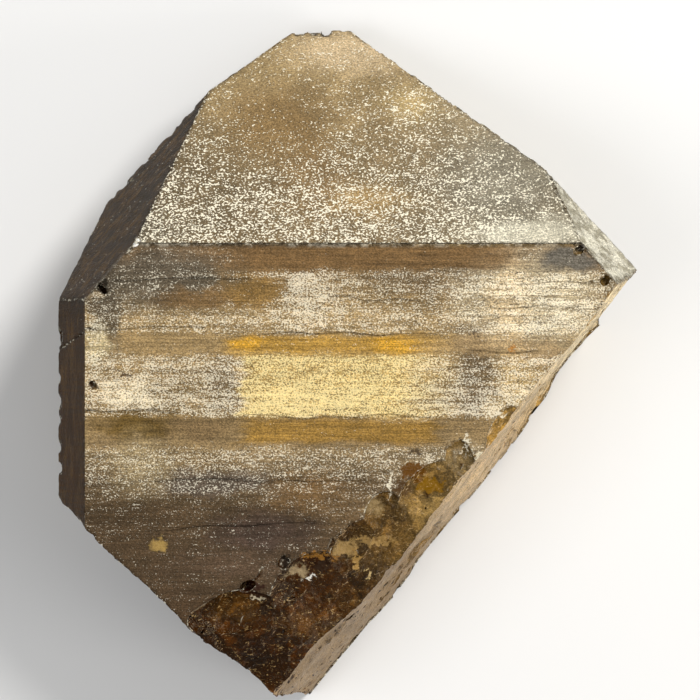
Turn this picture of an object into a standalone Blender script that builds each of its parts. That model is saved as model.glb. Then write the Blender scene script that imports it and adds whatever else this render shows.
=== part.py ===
"""Citrine crystal point: a broad, flat-lying smoky citrine quartz crystal, broken off at its lower end.

Frame: metres, +Z up. The crystal lies on a back prism face, with its long (c) axis along +Y and its
termination at +Y. The origin is the middle of its bounding box, on the surface that it rests on.
"""

import math
import random

import bmesh
import bpy
from mathutils import Matrix, Vector, noise

MM = 0.001

# Driving dimensions, in millimetres and degrees
THICKNESS = 34.0            # from the resting prism face to the front prism face
RHOMB_TILT = 38.2           # how far a termination face leans from its prism face to the c axis
LEFT_EDGE_X = -42.5         # front prism face, left edge
SHOULDER_Y = 20.7           # front prism face, upper edge: the ridge below the big upper face
CREST_Y = 57.8              # the blunt edge at the top of the crystal
BLANK_SIZE = 160.0          # the block that the crystal is cut from
BREAK_SKIN = 4.0            # what is left over a break for its rough surface to be cut in

# Each crystal face: the turn of its normal about the c axis (0 is the front, 90 is +X), the lean of
# its normal towards the termination, and one point of the face.
FACES = {
    "front prism": (0.0, 0.0, (0.0, 0.0, THICKNESS)),
    "back prism": (180.0, 0.0, (0.0, 0.0, 0.0)),
    "left front prism": (300.0, 0.0, (LEFT_EDGE_X, 0.0, THICKNESS)),
    "left back prism": (240.0, 0.0, (-47.3, 0.0, THICKNESS - 8.2)),
    "front rhomb": (0.0, RHOMB_TILT, (0.0, SHOULDER_Y, THICKNESS)),
    "right front rhomb": (60.0, RHOMB_TILT, (39.8, 20.2, THICKNESS)),
    "right back rhomb": (120.0, RHOMB_TILT, (36.2, 32.3, THICKNESS - 8.26)),
    "back rhomb": (180.0, RHOMB_TILT, (0.0, CREST_Y, THICKNESS - 29.1)),
    "left back rhomb": (240.0, RHOMB_TILT, (-22.8, 47.6, THICKNESS - 20.0)),
    "left front rhomb": (300.0, RHOMB_TILT, (LEFT_EDGE_X, 12.1, THICKNESS)),
    "shoulder facet": (0.0, 7.0, (0.0, SHOULDER_Y - 3.4, THICKNESS)),
}

# The broken sides at the lower end: the way each faces, a point of it, its length and width, the
# size of its mesh cells, the spread and depth of its bowls, and the turn of its length about the
# way it faces.
BREAKS = {
    "lower right": ((0.783, -0.622, 0.12), (24.4, -17.6, 0.0), 130.0, 80.0, 3.0, 15.0, 0.8, 0.0),
    "lower left": ((-0.678, -0.725, -0.12), (-27.0, -40.8, THICKNESS), 90.0, 80.0, 3.0, 13.0, 0.8, 0.0),
    "tip": ((0.71, -0.70, 0.20), (2.5, -44.3, 8.0), 50.0, 60.0, 3.0, 10.0, 0.8, 0.0),
    "front": ((0.20, -0.32, 0.93), (0.9, -26.6, THICKNESS), 100.0, 64.0, 1.7, 7.5, 1.1, 0.0),
}

# Deeper shells of the breaks: middle on the surface, the way the hollow faces, its length and width,
# its depth, and the turn of its length about the way it faces.
SHELLS = (
    ((26.0, -9.5, 33.6), (0.35, -0.30, 0.88), 11.0, 5.0, 0.9, 30.0),
    ((18.6, -13.5, 33.8), (0.15, -0.20, 0.97), 7.0, 4.0, 0.8, 70.0),
    ((13.0, -18.6, 33.6), (0.25, -0.30, 0.92), 11.0, 6.0, 1.1, 10.0),
    ((6.4, -22.0, 33.7), (0.05, -0.30, 0.95), 7.0, 5.0, 1.0, 60.0),
    ((1.5, -28.0, 33.2), (0.20, -0.30, 0.93), 10.0, 6.0, 1.3, 25.0),
    ((-6.5, -33.0, 33.2), (0.10, -0.30, 0.95), 11.0, 6.0, 1.2, 20.0),
    ((-16.0, -38.5, 33.0), (-0.10, -0.30, 0.95), 12.0, 6.0, 1.0, 30.0),
    ((37.0, 2.5, 15.0), (0.79, -0.60, -0.05), 26.0, 18.0, 1.0, 0.0),
    ((8.0, -34.5, 14.0), (0.80, -0.58, 0.10), 22.0, 15.0, 1.3, 10.0),
    ((-24.0, -40.0, 18.0), (-0.62, -0.70, -0.36), 22.0, 15.0, 1.3, -20.0),
)

# Growth ledges of the front prism face: left and right end, upper and lower edge, and depth. Each is
# a step that is steep at its upper edge and runs out to nothing at its lower edge.
LEDGES = (
    (-19.0, 17.0, 6.5, 2.6, 0.42),
    (-43.5, -21.5, 7.4, 3.2, 0.34),
    (-17.5, 16.5, -7.0, -12.0, 0.45),
    (-43.0, -26.0, -6.2, -11.4, 0.40),
    (-36.0, 6.0, -17.6, -21.0, 0.34),
    (-30.0, -4.0, -25.2, -28.6, 0.36),
    (19.0, 33.0, 3.6, 0.4, 0.34),
    (22.0, 40.0, 10.8, 8.0, 0.36),
    (24.0, 42.0, 14.8, 12.6, 0.30),
    (-39.0, -14.0, 15.4, 12.2, 0.30),
    (-4.0, 14.0, 12.0, 9.4, 0.26),
)

# Edges that are chipped: their two ends, how many chips, and the chips' mean size.
CHIPPED_EDGES = (
    ((7.0, 56.4, 6.4), (35.2, 33.2, 25.4), 20, 1.9),      # upper right, the most worn
    ((-10.0, 57.7, 5.2), (5.0, 57.7, 5.2), 7, 1.5),       # crest
    ((-11.5, 56.6, 6.6), (-21.5, 48.6, 13.8), 5, 1.2),
    ((-24.0, 45.9, 13.2), (-39.6, 28.6, 13.2), 7, 1.2),
    ((36.4, 32.0, 25.2), (47.8, 19.0, 25.2), 8, 1.6),
    ((44.6, 12.6, 34.0), (27.0, -10.4, 34.0), 12, 1.8),   # front edge of the lower right side
    ((25.0, -13.0, 33.0), (-2.0, -46.0, 24.0), 10, 1.8),
    ((-43.0, -25.4, 34.0), (-27.0, -40.5, 34.0), 7, 1.6),
    ((-47.3, 8.0, 25.8), (-47.3, -18.0, 25.8), 7, 1.3),
    ((49.0, 16.0, 20.0), (48.4, 15.4, 3.0), 4, 1.8),
    ((34.0, -4.6, 0.4), (2.0, -46.5, 0.4), 8, 1.7),
)

# Pits: middle and size.
PITS = (
    ((-39.6, 13.9, 33.8), 1.5),
    ((42.6, 10.0, 33.9), 1.5),
    ((42.9, 15.2, 33.7), 1.3),
    ((38.6, 20.2, 33.4), 1.0),
    ((-15.8, -35.0, 33.6), 1.9),
    ((-9.8, -31.2, 34.0), 1.3),
    ((-41.0, -2.0, 34.0), 1.0),
    ((30.0, -3.0, 34.0), 0.9),
)

CHIP_ROUNDS = 5             # neighbouring chips are cut one after the other
SEED = 41


def clear_objects():
    for old in list(bpy.data.objects):
        bpy.data.objects.remove(old, do_unlink=True)


def to_metres(point):
    return Vector(point) * MM


def face_normal(turn, lean):
    """Outward normal of a crystal face from its turn about the c axis and its lean towards it."""
    turn, lean = math.radians(turn), math.radians(lean)
    return Vector((math.sin(turn) * math.cos(lean), math.sin(lean), math.cos(turn) * math.cos(lean)))


def slice_off(bm, point, normal):
    """Cut away what lies outside a plane, and close the cut with one flat face."""
    cut = bmesh.ops.bisect_plane(
        bm,
        geom=bm.verts[:] + bm.edges[:] + bm.faces[:],
        dist=1e-7,
        plane_co=point,
        plane_no=normal,
        clear_outer=True,
    )
    rim = [item for item in cut["geom_cut"] if isinstance(item, bmesh.types.BMEdge)]
    if rim:
        bmesh.ops.contextual_create(bm, geom=rim)


def make_object(name, bm):
    bmesh.ops.recalc_face_normals(bm, faces=bm.faces[:])
    mesh = bpy.data.meshes.new(name)
    bm.to_mesh(mesh)
    bm.free()
    made = bpy.data.objects.new(name, mesh)
    bpy.context.scene.collection.objects.link(made)
    return made


def make_crystal_body():
    """The whole crystal with plain flat faces, cut from a block one face at a time."""
    bm = bmesh.new()
    bmesh.ops.create_cube(bm, size=BLANK_SIZE * MM)
    for turn, lean, point in FACES.values():
        slice_off(bm, to_metres(point), face_normal(turn, lean))
    for facing, point, *_ in BREAKS.values():
        outward = Vector(facing).normalized()
        slice_off(bm, to_metres(point) + outward * BREAK_SKIN * MM, outward)
    return make_object("citrine_point", bm)


def roughen(verts, centre, amount, size, seed):
    """Push a cutter's points in and out along their rays from its middle, in soft bumps."""
    for vert in verts:
        ray = vert.co - centre
        bump = noise.fractal(vert.co / (size * MM) + Vector((seed, 2.3 * seed, 0.7)), 1.0, 2.0, 3)
        vert.co = centre + ray * (1.0 + amount * bump)


def local_frame(facing, turn):
    """Axes with Z along a facing and X level, turned about the facing."""
    out = Vector(facing).normalized()
    level = Vector((0.0, 0.0, 1.0)).cross(out).normalized()
    axes = Matrix((level, out.cross(level), out)).transposed().to_4x4()
    return axes @ Matrix.Rotation(math.radians(turn), 4, "Z")


def bowl_height(x, y, bowls):
    """Height over a field of bowls that meet in sharp ridges, as in a shell-like fracture."""
    return min(base + ((x - mid_x) ** 2 * long + (y - mid_y) ** 2) * curve
               for mid_x, mid_y, base, curve, long in bowls)


def add_break(bm, broken, rng):
    """A thick slab whose inner side is a field of bowls. What it covers is broken away."""
    facing, point, length, width, cell, spread, depth, turn = broken
    bowls = []
    for column in range(round(length / spread) + 1):
        for row in range(round(width / spread) + 1):
            bowls.append((
                column * spread - length / 2.0 + rng.uniform(-0.5, 0.5) * spread,
                row * spread - width / 2.0 + rng.uniform(-0.5, 0.5) * spread,
                rng.uniform(-1.0, 0.0) * depth,
                depth * 2.2 / (spread * spread) * rng.uniform(0.6, 1.4),
                rng.uniform(0.35, 0.9),
            ))
    before = len(bm.verts)
    bmesh.ops.create_grid(
        bm, x_segments=round(length / cell), y_segments=round(width / cell), size=0.5,
        matrix=Matrix.Diagonal((length, width, 1.0, 1.0)),
    )
    bm.verts.ensure_lookup_table()
    sheet = bm.verts[before:]
    faces = list({face for vert in sheet for face in vert.link_faces})
    for vert in sheet:
        grain = noise.fractal(vert.co / 6.0 + Vector((spread, depth, 0.0)), 0.8, 2.1, 3)
        vert.co.z = bowl_height(vert.co.x, vert.co.y, bowls) + 0.35 * depth * grain
    raised = bmesh.ops.extrude_face_region(bm, geom=faces, use_keep_orig=True)
    for vert in [item for item in raised["geom"] if isinstance(item, bmesh.types.BMVert)]:
        vert.co.z = 3.0 * BREAK_SKIN
    bm.verts.ensure_lookup_table()
    place = Matrix.Translation(to_metres(point)) @ local_frame(facing, turn) @ Matrix.Scale(MM, 4)
    bmesh.ops.transform(bm, matrix=place, verts=bm.verts[before:])


def add_shell(bm, shell, seed):
    """One bowl-shaped cutter, a squashed ball of which only the lowest part meets the crystal."""
    middle, facing, length, width, depth, turn = shell
    radius = (width * width / 4.0 + depth * depth) / (2.0 * depth)
    facing = Vector(facing).normalized()
    stretch = Matrix.Diagonal((length / width, 1.0, 1.0, 1.0))
    centre = to_metres(middle) + facing * (radius - depth) * MM
    place = Matrix.Translation(centre) @ local_frame(facing, turn) @ stretch
    fineness = 3 if radius < 9.0 else 4 if radius < 30.0 else 5
    made = bmesh.ops.create_icosphere(bm, subdivisions=fineness, radius=radius * MM, matrix=place)
    roughen(made["verts"], centre, 0.045, 9.0, seed)


def add_lump(bm, centre, size, squash, rng):
    """One small rough ball, turned at random, for a chip or a pit."""
    turned = Matrix.Rotation(rng.uniform(0.0, math.tau), 4, Vector((rng.gauss(0, 1), rng.gauss(0, 1), 1.0)))
    shape = Matrix.Diagonal((1.0, rng.uniform(0.7, 1.1), squash, 1.0))
    place = Matrix.Translation(to_metres(centre)) @ turned @ shape
    made = bmesh.ops.create_icosphere(bm, subdivisions=2, radius=size * MM, matrix=place)
    roughen(made["verts"], to_metres(centre), 0.22, size * 0.9, rng.uniform(0.0, 50.0))


def add_ledge(bm, ledge, rng):
    """A long wedge, deepest along its upper edge, with both long edges wandering a little."""
    left, right, top, bottom, depth = ledge
    above = 1.5
    steps = max(6, round((right - left) / 3.0))
    before = len(bm.verts)
    made = bmesh.ops.create_cube(bm, size=1.0)
    around = {edge for vert in made["verts"] for edge in vert.link_edges}
    along = [edge for edge in around if abs(edge.verts[0].co.x - edge.verts[1].co.x) > 0.5]
    bmesh.ops.subdivide_edges(bm, edges=along, cuts=steps)
    bm.verts.ensure_lookup_table()
    phase = rng.uniform(0.0, 60.0)
    for vert in bm.verts[before:]:
        across, up, out = vert.co.x + 0.5, vert.co.y > 0, vert.co.z > 0
        taper = math.sqrt(math.sin(math.pi * min(max(across, 0.0), 1.0)))
        wander = noise.noise(Vector((across * (right - left) / 7.0, phase, 3.0 if up else 9.0)))
        y = (top if up else bottom) + 1.1 * wander
        x = left + across * (right - left) + (0.9 * wander if up else -0.9 * wander)
        low = 0.08 - (depth + 0.08) * taper if up else 0.10
        vert.co = to_metres((x, y, THICKNESS + (above if out else low)))


def cutter(name, bm):
    made = make_object(name, bm)
    made.hide_render = True
    made.display_type = "WIRE"
    return made


def make_cutters():
    """The growth ledges, the breaks and their shells, and the chips and pits, in cutting order."""
    rng = random.Random(SEED)
    ledges = bmesh.new()
    for ledge in LEDGES:
        add_ledge(ledges, ledge, rng)
    cutters = [cutter("ledges", ledges)]
    for name, broken in BREAKS.items():
        slab = bmesh.new()
        add_break(slab, broken, rng)
        cutters.append(cutter(name + " break", slab))
    for index, shell in enumerate(SHELLS):
        bowl = bmesh.new()
        add_shell(bowl, shell, 3.1 * index)
        cutters.append(cutter("shell", bowl))
    rounds = [bmesh.new() for _ in range(CHIP_ROUNDS)]
    for start, end, count, size in CHIPPED_EDGES:
        for index in range(count):
            share = (index + rng.uniform(0.1, 0.9)) / count
            wide = size * rng.uniform(0.55, 1.35)
            spot = Vector(start).lerp(Vector(end), share)
            away = Vector((spot.x, spot.y, 1.2 * (spot.z - THICKNESS / 2.0))).normalized()
            middle = spot + away * wide * rng.uniform(0.35, 0.85)
            add_lump(rounds[index % CHIP_ROUNDS], middle, wide, rng.uniform(0.45, 0.8), rng)
    for index, (middle, size) in enumerate(PITS):
        add_lump(rounds[index % CHIP_ROUNDS], middle, size * 0.8, 0.5, rng)
    return cutters + [cutter("chips", lumps) for lumps in rounds]


def carve(body, cutters):
    """Take the cutters out of the body for good."""
    for tool in cutters:
        cut = body.modifiers.new(tool.name, "BOOLEAN")
        cut.operation = "DIFFERENCE"
        cut.solver = "MANIFOLD" if tool.name.startswith("chips") else "EXACT"
        cut.object = tool
    bpy.context.view_layer.update()
    carved = bpy.data.meshes.new_from_object(body.evaluated_get(bpy.context.evaluated_depsgraph_get()))
    body.modifiers.clear()
    body.data = carved
    for tool in cutters:
        bpy.data.objects.remove(tool, do_unlink=True)


def pieces_of(bm):
    left = set(bm.verts)
    found = []
    while left:
        fresh = [left.pop()]
        piece = set(fresh)
        while fresh:
            for edge in fresh.pop().link_edges:
                for vert in edge.verts:
                    if vert in left:
                        left.discard(vert)
                        piece.add(vert)
                        fresh.append(vert)
        found.append(piece)
    return sorted(found, key=len, reverse=True)


def tidy(body):
    """Drop loose crumbs, and set the crystal down centred on the origin."""
    bm = bmesh.new()
    bm.from_mesh(body.data)
    for crumb in pieces_of(bm)[1:]:
        bmesh.ops.delete(bm, geom=list(crumb), context="VERTS")
    bmesh.ops.triangulate(bm, faces=bm.faces[:])
    low = Vector([min(vert.co[axis] for vert in bm.verts) for axis in range(3)])
    high = Vector([max(vert.co[axis] for vert in bm.verts) for axis in range(3)])
    middle = (low + high) / 2.0
    bmesh.ops.translate(bm, verts=bm.verts[:], vec=(-middle.x, -middle.y, -low.z))
    bm.to_mesh(body.data)
    bm.free()


def make_material():
    quartz = bpy.data.materials.new("smoky_citrine")
    quartz.use_nodes = True
    shader = quartz.node_tree.nodes["Principled BSDF"]
    shader.inputs["Base Color"].default_value = (0.36, 0.25, 0.12, 1.0)
    shader.inputs["Metallic"].default_value = 0.0
    shader.inputs["Roughness"].default_value = 0.38
    shader.inputs["IOR"].default_value = 1.544
    shader.inputs["Transmission Weight"].default_value = 0.6
    return quartz


def main():
    clear_objects()
    body = make_crystal_body()
    carve(body, make_cutters())
    tidy(body)
    body.data.materials.clear()
    body.data.materials.append(make_material())
    print(f"crystal: {len(body.data.polygons)} triangles")


main()
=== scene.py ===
import math
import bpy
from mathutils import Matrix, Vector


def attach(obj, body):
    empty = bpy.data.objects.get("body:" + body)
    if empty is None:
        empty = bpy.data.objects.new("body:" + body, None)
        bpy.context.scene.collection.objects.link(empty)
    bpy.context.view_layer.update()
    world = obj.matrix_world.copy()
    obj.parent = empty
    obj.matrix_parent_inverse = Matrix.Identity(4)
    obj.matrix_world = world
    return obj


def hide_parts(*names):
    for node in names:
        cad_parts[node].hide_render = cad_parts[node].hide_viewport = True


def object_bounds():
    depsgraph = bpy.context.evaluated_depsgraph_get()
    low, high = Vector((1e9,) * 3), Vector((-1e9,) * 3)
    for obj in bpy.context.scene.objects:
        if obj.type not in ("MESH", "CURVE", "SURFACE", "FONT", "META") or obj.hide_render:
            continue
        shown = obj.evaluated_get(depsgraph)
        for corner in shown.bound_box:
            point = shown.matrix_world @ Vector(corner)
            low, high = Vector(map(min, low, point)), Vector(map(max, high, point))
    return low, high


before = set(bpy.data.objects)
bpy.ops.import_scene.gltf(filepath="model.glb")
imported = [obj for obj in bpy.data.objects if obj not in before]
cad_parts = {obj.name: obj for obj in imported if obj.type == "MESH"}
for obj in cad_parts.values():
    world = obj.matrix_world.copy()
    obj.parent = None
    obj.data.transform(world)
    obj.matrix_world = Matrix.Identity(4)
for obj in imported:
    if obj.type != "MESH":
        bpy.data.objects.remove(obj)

from types import SimpleNamespace

import bmesh
import bpy
from mathutils import Vector, noise

mm = 0.001
cadLow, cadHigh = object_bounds()


# crystal form

crystal = {
    "node": "citrine_point",
    "gridStep": 3.6,         # mm between the first cuts across the faces
    "fineEdge": 0.74,        # longest edge on the faces that are looked at, mm
    "breakEdge": 0.48,       # longest edge on the broken part of the front
    "sideEdge": 1.0,         # longest edge round the sides
    "backEdge": 1.7,         # longest edge on the resting face
    "rhombLean": 38.2,       # degrees from a prism face to the c axis
    "prismDepth": 1.0,       # how far below the front plane ledges still count as prism face, mm
    "shoulderY": 19.4,       # where the front prism face ends, mm
    "striaDepth": 0.10,
    "etchDepth": 0.07,
    "breakDepth": 0.55,
    "wearDepth": 0.16,       # how far worn edges are rubbed down, mm
    "chipDepth": 1.1,        # how far the upper right edge is chipped, mm
    "chipCorner": (4.0, 24.0),   # left and lower end of that chipping, mm
    "wornAngle": 18.0,       # degrees an edge turns by before it counts as an edge of the crystal
    "sharpAngle": 28.0,      # degrees past which shading breaks at an edge
    "sameFace": 0.9985,      # how closely a small face must point the way of a crystal face to be part of it
    "plates": ((0.24, 0.30), (0.66, 0.36)),      # how many to a mm, and how steep, for both sizes of plate
    "rippleCentre": (30.0, -70.0, 20.0),
    "resting": 1e-5,         # m, below which a point is on the resting face
    "wearRings": 6,          # rings of points beside an edge that its wear spreads over
    "breakLine": ((27.4, -6.5), (-25.8, -41.0)),
    "frontSides": ((-1.0, 0.0, 41.6), (0.0, 1.0, 18.2), (0.783, -0.622, 29.2), (0.83, 0.56, 40.4),
                   (-0.678, -0.725, 47.8)),
    "seed": 11.0,
}


def crystalDirections():
    # outward normals of the six prism faces and the six termination faces
    lean = math.radians(crystal["rhombLean"])
    prisms, rhombs = [], []
    for turn in range(6):
        angle = math.radians(60.0 * turn)
        prisms.append(Vector((math.sin(angle), 0.0, math.cos(angle))))
        level = math.cos(lean)
        rhombs.append(Vector((math.sin(angle) * level, math.sin(lean), math.cos(angle) * level)))
    return prisms, rhombs


def gridPlanes(low, high, step):
    count = int((high - low) / step)
    start = low + ((high - low) - count * step) / 2.0
    return [start + step * index for index in range(count + 1)]


def cutIntoGrid(bm):
    step = crystal["gridStep"] * mm
    for axis in range(3):
        direction = Vector((0.0, 0.0, 0.0))
        direction[axis] = 1.0
        for place in gridPlanes(cadLow[axis], cadHigh[axis], step):
            bmesh.ops.bisect_plane(
                bm, geom=bm.verts[:] + bm.edges[:] + bm.faces[:], dist=1e-7,
                plane_co=direction * place, plane_no=direction,
            )


def belowBreakLine(place):
    (startX, startY), (endX, endY) = crystal["breakLine"]
    share = (place.x / mm - startX) / (endX - startX)
    return place.y / mm < startY + share * (endY - startY)


def edgeLimit(edge):
    low, high = edge.verts[0].co, edge.verts[1].co
    if max(low.z, high.z) < crystal["resting"]:
        return crystal["backEdge"] * mm
    if max(face.normal.z for face in edge.link_faces) < 0.5:
        return crystal["sideEdge"] * mm
    return crystal["breakEdge" if belowBreakLine((low + high) / 2.0) else "fineEdge"] * mm


def refine(bm):
    for _ in range(8):
        bmesh.ops.triangulate(bm, faces=bm.faces[:])
        bm.normal_update()
        long = [edge for edge in bm.edges if edge.calc_length() > edgeLimit(edge)]
        if not long:
            break
        bmesh.ops.subdivide_edges(bm, edges=long, cuts=1, use_grid_fill=True)
    bmesh.ops.triangulate(bm, faces=bm.faces[:])


def insideFront(place):
    # well inside the front prism face, where any small wall is a growth ledge's
    if belowBreakLine(place):
        return False
    return all(acrossX * place.x + alongY * place.y < reach * mm
               for acrossX, alongY, reach in crystal["frontSides"])


def kindOfFace(face, prisms, rhombs):
    # 0 termination face, 1 front prism face, 2 broken, 3 other prism face
    normal, middle = face.normal, face.calc_center_median()
    if middle.z > cadHigh.z - crystal["prismDepth"] * mm:
        if normal.z > 0.93 and middle.y < crystal["shoulderY"] * mm or insideFront(middle):
            return 1
    if max(normal.dot(rhomb) for rhomb in rhombs) > crystal["sameFace"]:
        return 0
    if max(normal.dot(prism) for prism in prisms) > crystal["sameFace"]:
        return 3
    return 2


def striaHeight(place):
    # growth lines run level round the prism, so they change quickly along the c axis only
    x, y, z = place
    coarse = noise.noise(Vector((x * 0.035, y * 0.42, z * 0.035)))
    middle = noise.noise(Vector((x * 0.07 + 9.0, y * 1.1, z * 0.07)))
    fine = noise.noise(Vector((x * 0.12, y * 2.3 + 31.0, z * 0.12)))
    return 0.5 * coarse + 0.35 * middle + 0.25 * fine


def etchHeight(place):
    pits = noise.noise(place * 1.15 + Vector((3.0, 0.0, 7.0)))
    clusters = 0.5 + 0.5 * noise.noise(place * 0.22)
    return -max(0.0, pits - 0.12) * 2.2 * clusters + 0.3 * noise.noise(place * 0.35)


def breakHeight(place):
    # small glassy plates, each tilted its own way, with ripples that swing round off-centre points; each
    # plate also gets a painted shade value, lighter or darker as if its tilt caught the light
    height, shades = 0.0, []
    bent = place + noise.noise_vector(place * 0.5) * 1.1
    for size, steep in crystal["plates"]:
        near, spots = noise.voronoi(bent * size, distance_metric="DISTANCE")
        tilt = noise.noise_vector(spots[0] * 7.3)
        height += steep * tilt.dot(bent * size - spots[0]) / size * 0.55
        height -= 0.10 * max(0.0, 0.16 - (near[1] - near[0])) / 0.16
        shades.append(noise.cell(spots[0] * 9.7))
    away = (place - Vector(crystal["rippleCentre"])).length
    ripple = math.sin(away * 2.4 + 3.0 * noise.noise(place * 0.16))
    return height + 0.09 * ripple + 0.22 * noise.fractal(place * 0.8, 0.8, 2.1, 3), shades


def edgeWear(bm, kindOf):
    # 1 along the crystal's edges; the second value fades out over the next rings of points
    near = [0.0] * len(bm.verts)
    for edge in bm.edges:
        if len(edge.link_faces) != 2 or edge.calc_face_angle(0.0) < math.radians(crystal["wornAngle"]):
            continue
        first, second = (kindOf[face.index] for face in edge.link_faces)
        if first == second and first in (1, 2):
            continue
        for vert in edge.verts:
            near[vert.index] = 1.0
    wide = list(near)
    for _ in range(crystal["wearRings"]):
        spread = []
        for vert in bm.verts:
            around = [wide[edge.other_vert(vert).index] for edge in vert.link_edges]
            spread.append(max(wide[vert.index], 0.5 * wide[vert.index] + 0.5 * sum(around) / len(around)))
        wide = spread
    return list(zip(near, wide))


def shapeSurface(bm, kinds, wear):
    # kinds: for each vertex the shares of termination, front prism, broken and other prism faces
    noise.seed_set(int(crystal["seed"]))      # vector noise would otherwise start from the clock
    offset = Vector((crystal["seed"], 0.0, 0.0))
    chipLeft, chipLower = crystal["chipCorner"]
    bm.normal_update()
    moves, plates = [], []
    for vert in bm.verts:
        share = kinds[vert.index]
        place = vert.co / mm + offset
        push, shades = 0.0, (0.5, 0.5)
        if share[0] > 0.0:
            push += share[0] * crystal["etchDepth"] * (etchHeight(place) - 0.3)
        if share[1] + share[3] > 0.0:
            stria = crystal["striaDepth"] * (striaHeight(place) - 0.6)
            push += (share[1] + share[3]) * (stria + crystal["etchDepth"] * 0.7 * (etchHeight(place) - 0.3))
        if share[2] > 0.0:
            height, shades = breakHeight(place)
            push += share[2] * crystal["breakDepth"] * (height - 0.5)
        plates.append(shades)
        rub = max(0.0, 0.5 + noise.noise(place * 0.9)) * crystal["wearDepth"]
        if vert.co.x > chipLeft * mm and vert.co.y > chipLower * mm:
            rub += max(0.0, 0.25 + noise.noise(place * 0.42)) * crystal["chipDepth"]
        push -= wear[vert.index][0] * rub
        if vert.co.z < crystal["resting"]:
            push = 0.0
        moves.append(min(0.0, push) * mm)
    for vert, push in zip(bm.verts, moves):
        vert.co += vert.normal * push
        for axis in range(3):
            vert.co[axis] = min(max(vert.co[axis], cadLow[axis]), cadHigh[axis])
    return plates


def makeCrystal():
    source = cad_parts[crystal["node"]]
    bm = bmesh.new()
    bm.from_mesh(source.data)
    bm.transform(source.matrix_world)
    bmesh.ops.remove_doubles(bm, verts=bm.verts[:], dist=1e-6)
    bmesh.ops.dissolve_limit(bm, angle_limit=math.radians(0.1), verts=bm.verts[:], edges=bm.edges[:])
    cutIntoGrid(bm)
    refine(bm)
    bm.normal_update()
    prisms, rhombs = crystalDirections()
    kindOf = [kindOfFace(face, prisms, rhombs) for face in bm.faces]
    bm.verts.index_update()
    bm.faces.index_update()
    kinds = []
    for vert in bm.verts:
        share = [0.0, 0.0, 0.0, 0.0]
        for face in vert.link_faces:
            share[kindOf[face.index]] += 1.0 / len(vert.link_faces)
        kinds.append(share)
    wear = edgeWear(bm, kindOf)
    plates = shapeSurface(bm, kinds, wear)
    mesh = bpy.data.meshes.new("crystalSurface")
    bm.to_mesh(mesh)
    bm.free()
    layer = mesh.color_attributes.new("faceKind", "FLOAT_COLOR", "POINT")
    for index, share in enumerate(kinds):
        layer.data[index].color = (share[0], share[1], share[2], 1.0)
    # its last two values are the painted light and shade of the large and small plates
    layer = mesh.color_attributes.new("edgeWear", "FLOAT_COLOR", "POINT")
    for index, ((near, wide), (large, small)) in enumerate(zip(wear, plates)):
        layer.data[index].color = (near, wide, large, small)
    mesh.shade_smooth()
    mesh.set_sharp_from_angle(angle=math.radians(crystal["sharpAngle"]))
    piece = bpy.data.objects.new("crystalSurface", mesh)
    bpy.context.scene.collection.objects.link(piece)
    print(f"crystal surface: {len(mesh.polygons)} triangles")
    return piece


# node helpers

def addNode(tree, kind, **settings):
    node = tree.nodes.new(kind)
    for name, value in settings.items():
        setattr(node, name, value)
    return node


def link(tree, source, target):
    tree.links.new(source, target)


def setOrLink(tree, socket, value):
    if isinstance(value, bpy.types.NodeSocket):
        tree.links.new(value, socket)
    else:
        socket.default_value = value


def calc(tree, operation, first, second=None, third=None):
    node = addNode(tree, "ShaderNodeMath", operation=operation)
    for socket, value in zip(node.inputs, (first, second, third)):
        if value is not None:
            setOrLink(tree, socket, value)
    return node.outputs[0]


def mixColour(tree, share, first, second):
    node = addNode(tree, "ShaderNodeMix", data_type="RGBA")
    setOrLink(tree, node.inputs[0], share)
    setOrLink(tree, node.inputs[6], first)
    setOrLink(tree, node.inputs[7], second)
    return node.outputs[2]


def mixValue(tree, share, first, second):
    node = addNode(tree, "ShaderNodeMix", data_type="FLOAT")
    setOrLink(tree, node.inputs[0], share)
    setOrLink(tree, node.inputs[2], first)
    setOrLink(tree, node.inputs[3], second)
    return node.outputs[0]


def smoothStep(tree, value, low, high, atLow=0.0, atHigh=1.0):
    node = addNode(tree, "ShaderNodeMapRange", interpolation_type="SMOOTHSTEP")
    for socket, item in zip(node.inputs, (value, low, high, atLow, atHigh)):
        setOrLink(tree, socket, item)
    return node.outputs[0]


def stretched(tree, vector, scale, shift=(0.0, 0.0, 0.0)):
    node = addNode(tree, "ShaderNodeMapping")
    link(tree, vector, node.inputs["Vector"])
    node.inputs["Location"].default_value = shift
    node.inputs["Scale"].default_value = scale
    return node.outputs[0]


def softNoise(tree, vector, scale, detail=2.0, rough=0.5, distort=0.0):
    node = addNode(tree, "ShaderNodeTexNoise")
    link(tree, vector, node.inputs["Vector"])
    node.inputs["Scale"].default_value = scale
    node.inputs["Detail"].default_value = detail
    node.inputs["Roughness"].default_value = rough
    node.inputs["Distortion"].default_value = distort
    return node.outputs["Fac"]


def newGroup(name, inputs, outputs):
    group = bpy.data.node_groups.new(name, "ShaderNodeTree")
    for title, kind, value in inputs:
        socket = group.interface.new_socket(title, in_out="INPUT", socket_type=kind)
        if value is not None:
            socket.default_value = value
    for title, kind in outputs:
        group.interface.new_socket(title, in_out="OUTPUT", socket_type=kind)
    return group, group.nodes.new("NodeGroupInput"), group.nodes.new("NodeGroupOutput")


def useGroup(tree, group, **values):
    node = addNode(tree, "ShaderNodeGroup", node_tree=group)
    for name, value in values.items():
        setOrLink(tree, node.inputs[name], value)
    return node


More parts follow.
